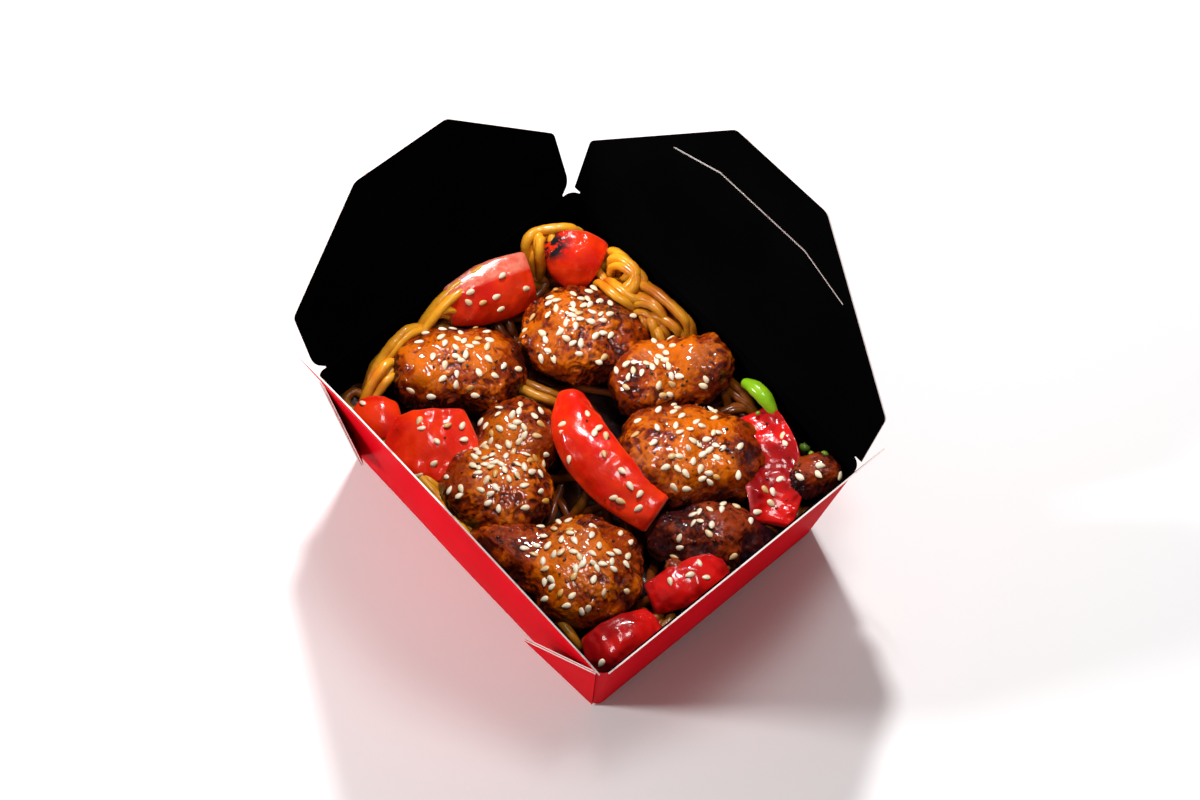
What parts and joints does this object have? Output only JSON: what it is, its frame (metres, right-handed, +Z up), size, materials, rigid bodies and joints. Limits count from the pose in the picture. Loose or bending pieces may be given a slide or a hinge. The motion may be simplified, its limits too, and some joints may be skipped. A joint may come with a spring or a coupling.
{
  "type": "noodle takeaway box",
  "caption": "Folded board takeaway box with four open lid flaps, filled with noodles, glazed chicken, pepper pieces and sesame seeds.",
  "frame": {"origin": "middle of the carton's flat underside", "axes": "+Z up, +X along the long side of the box, +Y across it, with the slit flap standing on the +Y side"},
  "size_m": [0.216, 0.1874, 0.1453],
  "materials": {
    "card": "satin coated board, red outside and black inside",
    "chicken": "glossy glaze",
    "red_pepper": "glossy",
    "green_pepper": "glossy",
    "noodles": "glossy"
  },
  "bodies": {
    "root": {"carton": "card", "noodles": "noodles", "chicken_1": "chicken", "chicken_2": "chicken", "chicken_3": "chicken", "chicken_4": "chicken", "chicken_5": "chicken", "chicken_6": "chicken", "chicken_7": "chicken", "chicken_8": "chicken", "chicken_9": "chicken", "pepper_1": "red_pepper", "pepper_2": "red_pepper", "pepper_3": "red_pepper", "pepper_4": "red_pepper", "pepper_5": "red_pepper", "pepper_6": "red_pepper", "pepper_7": "red_pepper", "pepper_8": "red_pepper", "green_pepper": "green_pepper"},
    "flap_front": {"flap_front": "card"},
    "flap_back": {"flap_back": "card"},
    "flap_left": {"flap_left": "card"},
    "flap_right": {"flap_right": "card"}
  },
  "joints": [
    {"name": "front_crease", "type": "hinge", "parent": "root", "child": "flap_front", "pos_m": [0, -0.068, 0.0635], "axis": [-1, 0, 0], "range_deg": [-89, 106]},
    {"name": "back_crease", "type": "hinge", "parent": "root", "child": "flap_back", "pos_m": [0, 0.068, 0.0635], "axis": [1, 0, 0], "range_deg": [-86, 106.8]},
    {"name": "left_crease", "type": "hinge", "parent": "root", "child": "flap_left", "pos_m": [-0.0855, 0, 0.062], "axis": [0, 1, 0], "range_deg": [-83.5, 111.5]},
    {"name": "right_crease", "type": "hinge", "parent": "root", "child": "flap_right", "pos_m": [0.0855, 0, 0.062], "axis": [0, -1, 0], "range_deg": [-88.5, 106.5]}
  ]
}
